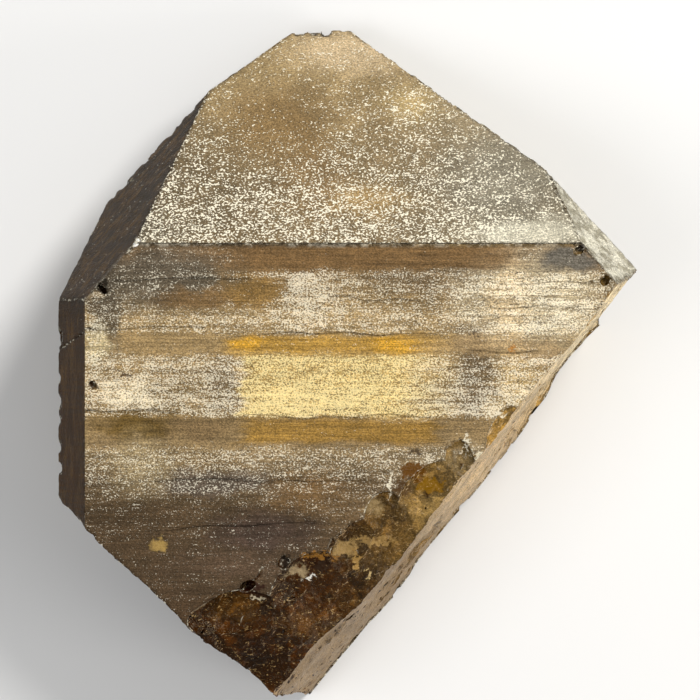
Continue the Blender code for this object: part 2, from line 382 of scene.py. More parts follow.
def makeCloudGroup():
    # a soft-edged cloud, round or long, in millimetres: the mask rises from 0 outside to its strength
    group, start, end = newGroup(
        "growthCloud",
        [("Vector", "NodeSocketVector", None), ("Centre", "NodeSocketVector", None),
         ("Radius", "NodeSocketVector", None), ("Blur", "NodeSocketFloat", 0.4),
         ("Strength", "NodeSocketFloat", 1.0)],
        [("Mask", "NodeSocketFloat")],
    )
    shrink = addNode(group, "ShaderNodeVectorMath", operation="DIVIDE")
    shrink.inputs[0].default_value = (1.0, 1.0, 1.0)
    link(group, start.outputs["Radius"], shrink.inputs[1])
    shift = addNode(group, "ShaderNodeVectorMath", operation="DIVIDE")
    back = addNode(group, "ShaderNodeVectorMath", operation="SCALE")
    link(group, start.outputs["Centre"], back.inputs[0])
    back.inputs["Scale"].default_value = -1.0
    link(group, back.outputs[0], shift.inputs[0])
    link(group, start.outputs["Radius"], shift.inputs[1])
    share = addNode(group, "ShaderNodeVectorMath", operation="MULTIPLY_ADD")
    link(group, start.outputs["Vector"], share.inputs[0])
    link(group, shrink.outputs[0], share.inputs[1])
    link(group, shift.outputs[0], share.inputs[2])
    reach = addNode(group, "ShaderNodeVectorMath", operation="LENGTH")
    link(group, share.outputs[0], reach.inputs[0])
    inner = calc(group, "SUBTRACT", 1.0, start.outputs["Blur"])
    outer = calc(group, "ADD", 1.0, start.outputs["Blur"])
    mask = smoothStep(group, reach.outputs["Value"], outer, inner, 0.0, start.outputs["Strength"])
    link(group, mask, end.inputs["Mask"])
    return group


def makePatchGroup():
    # a soft-edged rectangle on the front of the crystal, in millimetres
    group, start, end = newGroup(
        "growthPatch",
        [("Vector", "NodeSocketVector", None),
         ("Left", "NodeSocketFloat", -10.0), ("Right", "NodeSocketFloat", 10.0),
         ("Bottom", "NodeSocketFloat", -5.0), ("Top", "NodeSocketFloat", 5.0),
         ("SideBlur", "NodeSocketFloat", 2.0), ("LevelBlur", "NodeSocketFloat", 0.6)],
        [("Mask", "NodeSocketFloat")],
    )
    split = addNode(group, "ShaderNodeSeparateXYZ")
    link(group, start.outputs["Vector"], split.inputs[0])
    masks = []
    for axis, low, high, blur in ((0, "Left", "Right", "SideBlur"), (1, "Bottom", "Top", "LevelBlur")):
        value, soft = split.outputs[axis], start.outputs[blur]
        for side, sign in ((low, 1.0), (high, -1.0)):
            away = calc(group, "SUBTRACT", value, start.outputs[side])
            away = calc(group, "DIVIDE", calc(group, "MULTIPLY", away, sign), soft)
            masks.append(smoothStep(group, away, -1.0, 1.0))
    product = masks[0]
    for mask in masks[1:]:
        product = calc(group, "MULTIPLY", product, mask)
    link(group, product, end.inputs["Mask"])
    return group


def makeSpeckGroup():
    # small etched specks: Density runs from 0, none, to 1, crowded
    group, start, end = newGroup(
        "etchSpecks",
        [("Vector", "NodeSocketVector", None),
         ("Density", "NodeSocketFloat", 0.5), ("Size", "NodeSocketFloat", 2.4),
         ("Softness", "NodeSocketFloat", 0.10), ("Detail", "NodeSocketFloat", 2.5)],
        [("Mask", "NodeSocketFloat"), ("Grain", "NodeSocketFloat")],
    )
    grain = addNode(group, "ShaderNodeTexNoise")
    link(group, start.outputs["Vector"], grain.inputs["Vector"])
    link(group, start.outputs["Size"], grain.inputs["Scale"])
    link(group, start.outputs["Detail"], grain.inputs["Detail"])
    grain.inputs["Roughness"].default_value = 0.66
    level = calc(group, "MULTIPLY_ADD", start.outputs["Density"], -0.42, 0.74)
    high = calc(group, "ADD", level, start.outputs["Softness"])
    link(group, smoothStep(group, grain.outputs["Fac"], level, high), end.inputs["Mask"])
    link(group, grain.outputs["Fac"], end.inputs["Grain"])
    return group


def makeLineGroup():
    # level growth lines, fine and broad
    group, start, end = newGroup(
        "growthLines",
        [("Vector", "NodeSocketVector", None)],
        [("Fine", "NodeSocketFloat"), ("Lines", "NodeSocketFloat"), ("Bands", "NodeSocketFloat")],
    )
    for title, scale, detail in (("Fine", (0.22, 4.6, 0.22), 2.0), ("Lines", (0.07, 1.7, 0.07), 3.0),
                                 ("Bands", (0.030, 0.42, 0.030), 3.0)):
        link(group, softNoise(group, stretched(group, start.outputs["Vector"], scale), 1.0, detail, 0.62),
             end.inputs[title])
    return group


def tone(red, green, blue):
    # a colour given as 0 to 255 on screen, as the shader's linear values
    return (*((value / 255.0) ** 2.2 for value in (red, green, blue)), 1.0)


citrine = {
    "ior": 1.544,
    "glossLevel": 0.09,
    "glossColour": (1.0, 0.86, 0.62, 1.0),
    "transmission": 0.16,
    "absorbColour": (0.75, 0.52, 0.12, 1.0),
    "absorbDensity": 120.0,
    # pale etched specks, their whiteness a painted glint of the light; gold where they lie in the painted
    # glow
    "speckGlintColour": tone(255, 247, 222),
    "goldGlintOnGlow": tone(255, 238, 176),
    # painted shade inside tiny etched pinholes, also the colour of the dark wavy lines
    "pitShadeAndDarkLines": tone(58, 46, 34),
    "reliefStrength": 0.7,
    "reliefDepth": 0.00022,
}

# lower and upper end of what the tones below run over, up the c axis, in mm
prismSpan = (-56.0, 21.5)

# tone of the front prism face at heights up the c axis, in mm, between the specks
prismTones = (
    (-56.0, tone(70, 46, 24)),
    (-36.0, tone(78, 62, 46)),
    (-24.0, tone(80, 64, 46)),
    (-19.5, tone(104, 86, 62)),
    (-14.5, tone(140, 118, 84)),
    (-9.0, tone(144, 120, 82)),
    (1.0, tone(160, 134, 92)),
    (8.0, tone(160, 134, 92)),
    (13.5, tone(142, 118, 82)),
    # these two tones are darker under the ridge, with its painted shadow band
    (16.5, tone(124, 98, 66)),
    (21.0, tone(120, 94, 64)),
)

# clouds on the front prism face: middle, half width, half height, blur, strength and tone
prismClouds = (
    (-31.0, 14.0, 12.0, 5.0, 0.5, 0.85, tone(84, 78, 68)),
    (-24.0, 10.6, 7.5, 1.6, 0.6, 0.70, tone(126, 96, 58)),
    (-40.0, 8.0, 2.4, 7.0, 0.5, 0.75, tone(70, 64, 56)),
    (-15.0, 12.0, 5.0, 2.4, 0.6, 0.80, tone(140, 108, 58)),
    (14.0, 14.4, 10.0, 3.4, 0.5, 0.60, tone(112, 94, 70)),
    (30.0, 11.0, 11.0, 8.0, 0.5, 0.70, tone(204, 188, 154)),
    (26.0, 10.0, 3.6, 5.5, 0.7, 0.80, tone(224, 196, 150)),
    (36.5, 17.2, 5.0, 2.0, 0.4, 0.90, tone(98, 95, 88)),
    (20.5, -1.0, 3.6, 7.5, 0.6, 0.80, tone(96, 80, 60)),
    (31.0, 2.0, 5.0, 1.4, 0.6, 0.80, tone(168, 142, 104)),
    (27.5, -5.0, 3.5, 5.5, 0.6, 0.60, tone(196, 166, 112)),
    (-35.6, -5.0, 4.0, 2.0, 0.6, 0.65, tone(206, 180, 132)),
    (-41.2, 3.0, 2.0, 3.2, 0.6, 0.75, tone(206, 186, 140)),
    (-21.0, -2.6, 2.6, 3.4, 0.6, 0.70, tone(112, 94, 70)),
    (-35.0, -10.4, 6.4, 1.9, 0.5, 0.90, tone(100, 78, 36)),
    (-23.5, -10.6, 5.4, 2.0, 0.6, 0.70, tone(118, 96, 66)),
    (-34.0, -16.5, 4.6, 4.2, 0.7, 0.55, tone(176, 156, 116)),
    (24.0, 3.5, 7.0, 1.6, 0.6, 0.60, tone(176, 148, 106)),
    (-22.0, -19.5, 9.0, 2.0, 0.5, 0.60, tone(88, 80, 76)),
    (-6.0, -21.0, 6.0, 3.0, 0.6, 0.65, tone(122, 92, 56)),
    (2.0, -24.0, 8.0, 4.5, 0.7, 0.55, tone(112, 90, 62)),
    (17.0, -15.5, 6.0, 2.5, 0.6, 0.60, tone(150, 132, 102)),
    (-14.0, -27.5, 8.0, 3.0, 0.6, 0.55, tone(74, 60, 58)),
    (-18.0, -33.0, 10.0, 2.2, 0.6, 0.50, tone(92, 74, 60)),
)

# stripes across the same face: left, right, lower and upper end, side blur, level blur; the amber stripes and
# the gold terrace are the stone's amber brightened by a painted glow of light shining through it
prismStripes = {
    "upperAmberAndGlow": (-20.0, 24.0, 1.9, 4.5, 2.0, 0.8),
    "lowerAmberAndGlow": (-17.6, 14.5, -13.0, -9.2, 1.6, 0.7),
    "goldTerraceGlow": (-17.4, 24.0, -8.8, 1.9, 1.0, 0.7),
    # a painted shadow band under the ridge
    "ridgeShadowBand": (-19.0, 27.0, 15.6, 20.5, 5.0, 0.6),
}

# where the upper amber stripe's painted glow is brightest
amberGlowEnds = (
    (7.0, 3.1, 3.6, 1.2, 0.5, 0.8, tone(212, 158, 50)),
    (-16.6, 3.5, 2.8, 1.2, 0.4, 0.8, tone(212, 158, 50)),
)

# the pale right side of the face, where dark lines run between the specks
paleRight = (30.0, 11.5, 11.0, 6.5, 0.4, 1.0)

# clouds of specks on the same face, the last value being how much more crowded they are
speckClouds = (
    (-31.0, 12.0, 11.0, 6.0, 0.5, -0.08),
    (-24.0, 10.4, 7.0, 1.6, 0.5, -0.22),
    (-15.0, 12.0, 4.6, 2.2, 0.5, -0.25),
    (-7.0, 11.0, 4.5, 5.0, 0.6, 0.22),
    (30.0, 11.0, 12.0, 7.5, 0.4, 0.16),
    (36.5, 17.2, 5.4, 2.0, 0.4, -0.30),
    (-35.6, -5.0, 5.0, 2.4, 0.6, 0.16),
    (-41.0, 3.0, 2.4, 3.4, 0.6, 0.22),
    (20.5, -1.0, 3.4, 6.0, 0.6, -0.08),
    (-30.0, -10.4, 14.0, 1.8, 0.4, -0.26),
    (-6.0, -6.0, 12.0, 2.4, 0.6, 0.14),
    (24.0, -7.0, 8.0, 3.0, 0.6, 0.12),
)

# how crowded the pale specks are up the c axis
prismSpecks = (
    (-56.0, 0.20), (-34.0, 0.26), (-24.0, 0.34), (-19.5, 0.50), (-15.0, 0.58), (-13.8, 0.46), (-12.8, 0.16),
    (-9.4, 0.18), (-8.4, 0.66), (1.0, 0.64), (2.0, 0.26), (4.4, 0.28), (5.4, 0.60), (14.6, 0.54),
    (16.0, 0.44), (20.6, 0.40),
)

# clouds on the big upper face
rhombClouds = (
    (0.0, 52.5, 9.0, 3.6, 0.6, 0.85, tone(204, 180, 142)),
    (-12.0, 40.0, 8.0, 5.5, 0.7, 0.80, tone(134, 108, 70)),
    (-23.0, 27.0, 9.0, 6.0, 0.7, 0.60, tone(104, 90, 68)),
    (-6.0, 31.0, 5.0, 6.0, 0.7, 0.60, tone(136, 110, 74)),
    (4.0, 27.0, 5.5, 2.4, 0.7, 0.60, tone(184, 152, 100)),
    (10.5, 43.5, 4.5, 3.0, 0.7, 0.65, tone(190, 164, 112)),
    (26.0, 30.0, 9.0, 7.0, 0.7, 0.80, tone(132, 126, 110)),
    (30.0, 21.5, 9.0, 2.4, 0.5, 0.75, tone(206, 200, 178)),
    (-36.0, 21.0, 8.0, 5.0, 0.7, 0.70, tone(104, 97, 82)),
    (-30.0, 34.0, 5.0, 9.0, 0.7, 0.70, tone(104, 90, 68)),
)

# clouds of specks on it, the last value being how much more crowded they are
rhombSpeckClouds = (
    (-12.0, 39.0, 8.0, 8.0, 0.6, -0.14),
    (10.5, 43.5, 5.0, 4.0, 0.6, 0.14),
)

# clouds on the broken lower front
brokenClouds = (
    (14.0, -24.0, 4.0, 3.0, 0.6, 0.70, tone(160, 130, 76)),
    (19.0, -17.0, 3.0, 3.0, 0.6, 0.60, tone(156, 134, 94)),
    (-19.0, -39.6, 4.5, 2.4, 0.5, 0.80, tone(88, 58, 20)),
    (-6.5, -43.0, 4.0, 2.6, 0.6, 0.60, tone(88, 56, 20)),
    (-1.0, -46.5, 3.0, 2.4, 0.6, 0.55, tone(130, 100, 48)),
    (2.0, -36.0, 6.0, 2.6, 0.6, 0.60, tone(44, 24, 8)),
    (-15.0, -47.0, 3.0, 2.4, 0.6, 0.70, tone(40, 20, 6)),
    (24.5, -12.0, 2.6, 2.2, 0.4, 0.85, tone(140, 106, 48)),
    (5.0, -28.0, 3.0, 3.4, 0.6, 0.60, tone(104, 76, 36)),
)

# small sharp marks across the front: middle, half width, half height, blur, strength and tone; the near-white
# thin ones are painted glints on cracks
marks = (
    (10.6, -17.6, 1.9, 1.5, 0.15, 0.95, tone(96, 60, 6)),
    (13.6, -19.9, 2.4, 1.3, 0.15, 0.92, tone(124, 88, 10)),
    (8.8, -20.4, 1.3, 1.4, 0.25, 0.80, tone(72, 48, 22)),
    (-0.6, -30.3, 2.1, 1.1, 0.30, 0.65, tone(172, 140, 88)),
    (4.0, -29.0, 3.4, 0.6, 0.30, 0.70, tone(164, 132, 80)),
    (-5.2, -31.4, 3.2, 0.4, 0.30, 0.80, tone(156, 108, 46)),
    (-3.6, -33.2, 3.4, 1.1, 0.30, 0.85, tone(42, 22, 6)),
    (1.2, -32.6, 0.5, 2.0, 0.25, 0.80, tone(170, 134, 76)),
    # painted glints on cracks of the break: this row and the next two
    (6.8, -20.0, 0.30, 2.0, 0.30, 0.90, tone(236, 226, 200)),
    (19.4, -13.3, 0.28, 1.7, 0.30, 0.90, tone(236, 226, 200)),
    (21.6, -15.2, 1.3, 0.35, 0.30, 0.85, tone(232, 220, 190)),
    (4.2, -23.4, 1.5, 1.3, 0.55, 0.45, tone(176, 150, 104)),
    # painted glints: this row and the next
    (24.6, -8.4, 1.7, 0.30, 0.30, 0.85, tone(240, 228, 198)),
    (-6.3, -35.1, 1.3, 0.30, 0.30, 0.90, tone(236, 232, 220)),
    (-8.6, -34.0, 1.5, 0.9, 0.50, 0.80, tone(160, 140, 106)),
    (-15.0, -38.4, 1.2, 0.30, 0.40, 0.80, tone(216, 200, 168)),
    (3.4, -35.0, 0.35, 1.1, 0.30, 0.85, tone(206, 178, 122)),
    (-30.9, -29.7, 1.1, 0.9, 0.55, 0.80, tone(178, 146, 82)),
    # a painted glint
    (-35.0, 20.0, 0.7, 0.5, 0.30, 0.95, tone(255, 253, 246)),
    (-15.9, -36.6, 1.8, 1.2, 0.30, 0.93, tone(44, 18, 12)),
    (-10.1, -32.7, 0.9, 0.9, 0.30, 0.93, tone(28, 18, 14)),
    (20.6, 4.9, 0.5, 0.4, 0.40, 0.80, tone(60, 48, 40)),
    (11.0, -14.4, 0.9, 0.5, 0.40, 0.80, tone(56, 42, 32)),
    (-40.6, 13.0, 1.3, 0.6, 0.35, 0.92, tone(26, 22, 18)),
    (42.4, 8.9, 0.9, 0.6, 0.35, 0.92, tone(20, 18, 14)),
    (38.4, 19.0, 1.2, 0.5, 0.35, 0.90, tone(28, 25, 20)),
    (-36.8, -1.8, 1.0, 0.4, 0.35, 0.85, tone(62, 42, 26)),
    (26.8, 2.3, 0.5, 0.35, 0.35, 0.80, tone(178, 116, 40)),
)


def scaledColour(tree, colour, share):
    node = addNode(tree, "ShaderNodeVectorMath", operation="SCALE")
    link(tree, colour, node.inputs[0])
    setOrLink(tree, node.inputs["Scale"], share)
    return node.outputs[0]


def rampAlong(tree, value, low, high, stops):
    node = addNode(tree, "ShaderNodeValToRGB")
    share = calc(tree, "DIVIDE", calc(tree, "SUBTRACT", value, low), high - low)
    link(tree, share, node.inputs[0])
    points = node.color_ramp.elements
    while len(points) < len(stops):
        points.new(0.5)
    for point, (place, colour) in zip(points, stops):
        point.position = (place - low) / (high - low)
        point.color = colour if isinstance(colour, tuple) else (colour, colour, colour, 1.0)
    return node.outputs[0]


def wandered(tree, place, scale, reach, detail=3.0):
    # the same place with a small wander, so that no growth zone has a ruled edge
    wander = addNode(tree, "ShaderNodeTexNoise")
    link(tree, stretched(tree, place, scale), wander.inputs["Vector"])
    wander.inputs["Scale"].default_value = 1.0
    wander.inputs["Detail"].default_value = detail
    wander.inputs["Roughness"].default_value = 0.62
    centred = addNode(tree, "ShaderNodeVectorMath", operation="SUBTRACT")
    link(tree, wander.outputs["Color"], centred.inputs[0])
    centred.inputs[1].default_value = (0.5, 0.5, 0.5)
    moved = addNode(tree, "ShaderNodeVectorMath", operation="MULTIPLY_ADD")
    link(tree, centred.outputs[0], moved.inputs[0])
    moved.inputs[1].default_value = reach
    link(tree, place, moved.inputs[2])
    return moved.outputs[0]


def readStone(tree):
    # what the mesh tells the material: where a point is, which kind of face it is on and how worn it is
    coords = addNode(tree, "ShaderNodeTexCoord")
    place = stretched(tree, coords.outputs["Object"], (1.0 / mm, 1.0 / mm, 1.0 / mm))
    kind = addNode(tree, "ShaderNodeAttribute", attribute_name="faceKind")
    shares = addNode(tree, "ShaderNodeSeparateColor")
    link(tree, kind.outputs["Color"], shares.inputs[0])
    worn = addNode(tree, "ShaderNodeAttribute", attribute_name="edgeWear")
    wearShares = addNode(tree, "ShaderNodeSeparateColor")
    link(tree, worn.outputs["Color"], wearShares.inputs[0])
    facing = addNode(tree, "ShaderNodeNewGeometry")
    normal = addNode(tree, "ShaderNodeSeparateXYZ")
    link(tree, facing.outputs["True Normal"], normal.inputs[0])
    zoned = wandered(tree, place, (0.16, 0.55, 0.5), (9.0, 2.6, 0.0), 4.0)
    zone = addNode(tree, "ShaderNodeSeparateXYZ")
    link(tree, zoned, zone.inputs[0])
    growth = useGroup(tree, makeLineGroup(), Vector=place)
    return SimpleNamespace(
        tree=tree, place=place, zoned=zoned, cloudy=wandered(tree, place, (0.26, 0.34, 0.3), (9.0, 5.0, 0.0)),
        acrossX=zone.outputs[0], alongY=zone.outputs[1], upZ=zone.outputs[2],
        isRhomb=shares.outputs[0], isPrism=shares.outputs[1], isBroken=shares.outputs[2],
        nearEdge=wearShares.outputs[0], byEdge=wearShares.outputs[1],
        largePlateShade=wearShares.outputs[2], smallPlateShade=worn.outputs["Alpha"],
        facing=facing.outputs["True Normal"], facingX=normal.outputs[0], facingZ=normal.outputs[2],
        fine=growth.outputs["Fine"], lines=growth.outputs["Lines"], bands=growth.outputs["Bands"],
        mottle=softNoise(tree, place, 0.55, 4.0, 0.66, 0.6),
        cloudGroup=makeCloudGroup(), patchGroup=makePatchGroup(), speckGroup=makeSpeckGroup(),
    )


def cloudOver(stone, row, vector):
    # row: middle, half width, half height, blur and strength
    node = useGroup(stone.tree, stone.cloudGroup, Vector=vector, Blur=row[4], Strength=row[5])
    node.inputs["Centre"].default_value = (row[0], row[1], 0.0)
    node.inputs["Radius"].default_value = (row[2], row[3], 1e6)
    return node.outputs["Mask"]


def paintClouds(stone, colour, rows, vector):
    for row in rows:
        colour = mixColour(stone.tree, cloudOver(stone, row, vector), colour, row[6])
    return colour


def addClouds(stone, value, rows):
    for row in rows:
        value = calc(stone.tree, "ADD", cloudOver(stone, row, stone.cloudy), value)
    return value


def stripeOver(stone, name):
    left, right, bottom, top, sideBlur, levelBlur = prismStripes[name]
    node = useGroup(stone.tree, stone.patchGroup, Vector=stone.zoned, Left=left, Right=right, Bottom=bottom,
                    Top=top, SideBlur=sideBlur, LevelBlur=levelBlur)
    return node.outputs["Mask"]


def paintPrism(stone):
    # the front prism face: its tone, how crowded its specks are, and the stripes and painted glow of both
    tree = stone.tree
    low, high = prismSpan
    colour = rampAlong(tree, stone.alongY, low, high, prismTones)
    colour = paintClouds(stone, colour, prismClouds, stone.cloudy)
    # painted glow: the amber stripes are the stone's amber, brightened as if lit through the stone
    upper = calc(tree, "MULTIPLY", stripeOver(stone, "upperAmberAndGlow"),
                 smoothStep(tree, stone.acrossX, 8.0, 19.0, 0.92, 0.0))
    colour = mixColour(tree, upper, colour, tone(186, 144, 66))
    colour = paintClouds(stone, colour, amberGlowEnds, stone.zoned)
    lower = calc(tree, "MULTIPLY", stripeOver(stone, "lowerAmberAndGlow"), 0.85)
    colour = mixColour(tree, lower, colour, tone(152, 116, 52))
    # painted glow over the gold terrace, standing in for light shining through the stone
    paintedGlow = calc(tree, "MULTIPLY", stripeOver(stone, "goldTerraceGlow"),
                smoothStep(tree, stone.acrossX, 6.0, 20.0, 1.0, 0.0))
    colour = mixColour(tree, calc(tree, "MULTIPLY", paintedGlow, 0.65), colour, tone(204, 168, 96))
    # painted shadow: the brown band under the ridge stands in for its shade, and fewer specks show in it
    brown = stripeOver(stone, "ridgeShadowBand")
    colour = mixColour(tree, calc(tree, "MULTIPLY", brown, 0.8), colour, tone(120, 92, 58))

    crowd = addClouds(stone, rampAlong(tree, stone.alongY, low, high, prismSpecks), speckClouds)
    crowd = calc(tree, "MULTIPLY_ADD", brown, -0.36, crowd)
    crowd = calc(tree, "MULTIPLY_ADD", paintedGlow, 0.10, crowd)
    bright = cloudOver(stone, paleRight, stone.cloudy)
    gaps = calc(tree, "MULTIPLY", bright, smoothStep(tree, stone.bands, 0.52, 0.44))
    crowd = calc(tree, "MULTIPLY_ADD", gaps, -0.30, crowd)
    stripes = calc(tree, "MAXIMUM", calc(tree, "MAXIMUM", upper, lower), brown)
    return SimpleNamespace(colour=colour, crowd=crowd, stripes=stripes, paintedGlow=paintedGlow, bright=bright)


def paintRhomb(stone):
    # the big termination face in front, paler and less specked towards its top
    tree = stone.tree
    rise = smoothStep(tree, stone.alongY, 26.0, 50.0)
    colour = mixColour(tree, rise, tone(126, 108, 80), tone(154, 132, 94))
    toRight = smoothStep(tree, stone.acrossX, 0.0, 30.0)
    colour = mixColour(tree, calc(tree, "MULTIPLY", toRight, 0.6), colour, tone(138, 130, 110))
    colour = paintClouds(stone, colour, rhombClouds, stone.cloudy)
    crowd = smoothStep(tree, stone.alongY, 52.0, 21.0, 0.24, 0.52)
    crowd = calc(tree, "MULTIPLY_ADD", smoothStep(tree, stone.acrossX, 18.0, 36.0), -0.14, crowd)
    return SimpleNamespace(colour=colour, crowd=addClouds(stone, crowd, rhombSpeckClouds))


def paintSides(stone):
    # brown and glassy on the left, darkened with painted shade; pale and mottled on the right, with painted
    # light from that side; banded at the back
    tree = stone.tree
    # painted shade: faces turned to the left get a darker brown than the stone's own
    colour = mixColour(tree, smoothStep(tree, stone.alongY, -6.0, 24.0), tone(56, 34, 6), tone(40, 28, 12))
    streaks = softNoise(tree, stretched(tree, stone.place, (0.5, 0.16, 0.9)), 1.0, 3.0, 0.6, 0.5)
    colour = mixColour(tree, smoothStep(tree, streaks, 0.42, 0.68), colour, tone(80, 56, 22))
    mottled = smoothStep(tree, stone.mottle, 0.42, 0.60)
    # painted light: faces turned to the right are made pale over their mottle, as if lit from that side
    pale = mixColour(tree, mottled, tone(146, 140, 120), tone(208, 203, 184))
    colour = mixColour(tree, smoothStep(tree, stone.facingX, 0.30, 0.50), colour, pale)
    backward = smoothStep(tree, stone.facingZ, -0.30, -0.50)
    banded = mixColour(tree, smoothStep(tree, stone.bands, 0.40, 0.62), tone(96, 76, 48), tone(150, 128, 90))
    return SimpleNamespace(colour=mixColour(tree, backward, colour, banded), backward=backward)


def paintBreaks(stone):
    # dark glassy plates low on the front, with painted light and shade, a pale striated side on the right,
    # its paleness partly painted light from that side, mottled chips at the top
    tree = stone.tree
    colour = mixColour(tree, smoothStep(tree, stone.acrossX, -6.0, 24.0), tone(60, 34, 8), tone(156, 122, 66))
    colour = paintClouds(stone, colour, brokenClouds, stone.cloudy)
    # painted light and shade: each plate's tone is raised or lowered, as if its tilt caught the lamps
    large = calc(tree, "MULTIPLY_ADD", stone.largePlateShade, 0.70, 0.68)
    plates = calc(tree, "MULTIPLY", large, calc(tree, "MULTIPLY_ADD", stone.smallPlateShade, 0.80, 0.62))

    facingStrip = addNode(tree, "ShaderNodeVectorMath", operation="DOT_PRODUCT")
    link(tree, stone.facing, facingStrip.inputs[0])
    facingStrip.inputs[1].default_value = (0.783, -0.622, 0.0)
    onStrip = smoothStep(tree, facingStrip.outputs["Value"], 0.72, 0.90)
    alongStrip = addNode(tree, "ShaderNodeVectorMath", operation="DOT_PRODUCT")
    link(tree, stone.place, alongStrip.inputs[0])
    alongStrip.inputs[1].default_value = (0.08, 0.10, 0.0)
    stripPlace = addNode(tree, "ShaderNodeCombineXYZ")
    link(tree, alongStrip.outputs["Value"], stripPlace.inputs[0])
    link(tree, calc(tree, "MULTIPLY", stone.upZ, 1.5), stripPlace.inputs[2])
    grain = softNoise(tree, stripPlace.outputs[0], 1.0, 3.0, 0.68, 0.4)
    # painted light: the strip is pale where light from the right falls on it, over its own tan grain, and
    # darker towards its lower end
    stripRise = smoothStep(tree, stone.alongY, -34.0, -18.0)
    strip = mixColour(tree, stripRise, tone(146, 122, 92), tone(208, 178, 134))
    strip = mixColour(tree, smoothStep(tree, stone.alongY, -14.0, 6.0), strip, tone(240, 218, 174))
    strip = mixColour(tree, smoothStep(tree, grain, 0.60, 0.36, 0.0, 0.70), strip, tone(136, 112, 80))
    colour = mixColour(tree, onStrip, colour, strip)

    chips = mixColour(tree, smoothStep(tree, stone.mottle, 0.46, 0.60), tone(96, 90, 74), tone(214, 206, 184))
    colour = mixColour(tree, smoothStep(tree, stone.alongY, 16.0, 22.0), colour, chips)
    return SimpleNamespace(colour=colour, plates=plates, onStrip=onStrip)


def shadeSurface(stone, breaks, offPrism):
    # level lines on the prism faces, the plates' painted light and shade on the breaks, and soft haze and
    # dust over everything
    tree = stone.tree
    lines = calc(tree, "MULTIPLY", smoothStep(tree, stone.lines, 0.30, 0.70, 0.78, 1.18),
                 smoothStep(tree, stone.fine, 0.30, 0.70, 0.84, 1.14))
    shade = mixValue(tree, offPrism, lines, 1.0)
    shade = mixValue(tree, stone.isBroken, shade, mixValue(tree, breaks.onStrip, breaks.plates, 1.0))
    haze = softNoise(tree, stone.place, 0.16, 3.0, 0.66, 0.4)
    dust = softNoise(tree, stretched(tree, stone.place, (3.4, 4.4, 4.0)), 1.0, 1.0)
    for factor in (smoothStep(tree, haze, 0.30, 0.72, 0.82, 1.18),
                   smoothStep(tree, stone.byEdge, 0.10, 0.80, 1.0, 0.66),
                   smoothStep(tree, dust, 0.28, 0.72, 0.62, 1.38)):
        shade = calc(tree, "MULTIPLY", shade, factor)
    return shade


def driftSpecks(stone, density, offPrism):
    # specks gather along the growth lines and in loose drifts, and leave the breaks clean
    tree = stone.tree
    drift = softNoise(tree, stretched(tree, stone.place, (0.42, 0.85, 0.5)), 1.0, 3.0, 0.6)
    density = calc(tree, "MULTIPLY_ADD", calc(tree, "SUBTRACT", drift, 0.5), 0.9, density)
    density = calc(tree, "MULTIPLY_ADD", calc(tree, "SUBTRACT", stone.lines, 0.5),
                   mixValue(tree, offPrism, 0.5, 0.0), density)
    return calc(tree, "MULTIPLY", density, mixValue(tree, stone.isBroken, 1.0, 0.0))


def addSpecks(stone, colour, base, density, prism):
    # painted shade first, as dark pinholes, then pale etched specks whose whiteness is a painted glint of the
    # light, golden over the terrace's painted glow
    tree = stone.tree
    # painted shade: dark pinholes stand in for the shade inside tiny etched pits
    shadedPinholes = useGroup(tree, stone.speckGroup,
                        Vector=stretched(tree, stone.place, (0.8, 1.2, 1.0), (31.0, 7.0, 3.0)),
                        Density=calc(tree, "MULTIPLY", density, 0.85), Size=3.0, Softness=0.14, Detail=2.0)
    pinholeShade = calc(tree, "MULTIPLY", shadedPinholes.outputs["Mask"], 0.72)
    colour = mixColour(tree, pinholeShade, colour, citrine["pitShadeAndDarkLines"])
    specks = useGroup(tree, stone.speckGroup, Vector=stretched(tree, stone.place, (0.92, 1.1, 1.0)),
                      Density=density, Size=mixValue(tree, stone.isRhomb, 3.6, 2.9),
                      Softness=mixValue(tree, stone.isRhomb, 0.12, 0.05),
                      Detail=mixValue(tree, stone.isRhomb, 2.5, 1.2))
    golden = calc(tree, "MULTIPLY", prism.paintedGlow, stone.isPrism)
    tint = mixColour(tree, golden, citrine["speckGlintColour"], citrine["goldGlintOnGlow"])
    # on the termination face the painted glint is partly a brightened copy of the face's own tone
    tint = mixColour(tree, mixValue(tree, stone.isRhomb, 0.35, 0.0), tint, scaledColour(tree, base, 1.7))
    colour = mixColour(tree, calc(tree, "MULTIPLY", specks.outputs["Mask"], 0.95), colour, tint)
    return colour, specks


def wearEdges(stone, colour, veins):
    # white bruises with dark nicks between them, and pale hairline cracks over the breaks, their paleness a
    # painted glint
    tree = stone.tree
    bruise = softNoise(tree, stone.place, 1.7, 3.0, 0.7)
    nicks = calc(tree, "MULTIPLY", smoothStep(tree, stone.nearEdge, 0.30, 0.80),
                 smoothStep(tree, bruise, 0.46, 0.38))
    colour = mixColour(tree, calc(tree, "MULTIPLY", nicks, 0.75), colour, tone(46, 38, 28))
    bruises = calc(tree, "MULTIPLY", smoothStep(tree, stone.nearEdge, 0.35, 0.75),
                   smoothStep(tree, bruise, 0.52, 0.60))
    colour = mixColour(tree, calc(tree, "MULTIPLY", bruises, 0.85), colour, tone(240, 232, 208))
    # painted glint along hairline cracks on the breaks
    crackGlint = calc(tree, "MULTIPLY", stone.isBroken, smoothStep(tree, bruise, 0.50, 0.62))
    crackGlint = calc(tree, "MULTIPLY", calc(tree, "MULTIPLY", veins, crackGlint), 0.5)
    return mixColour(tree, crackGlint, colour, tone(206, 172, 116))


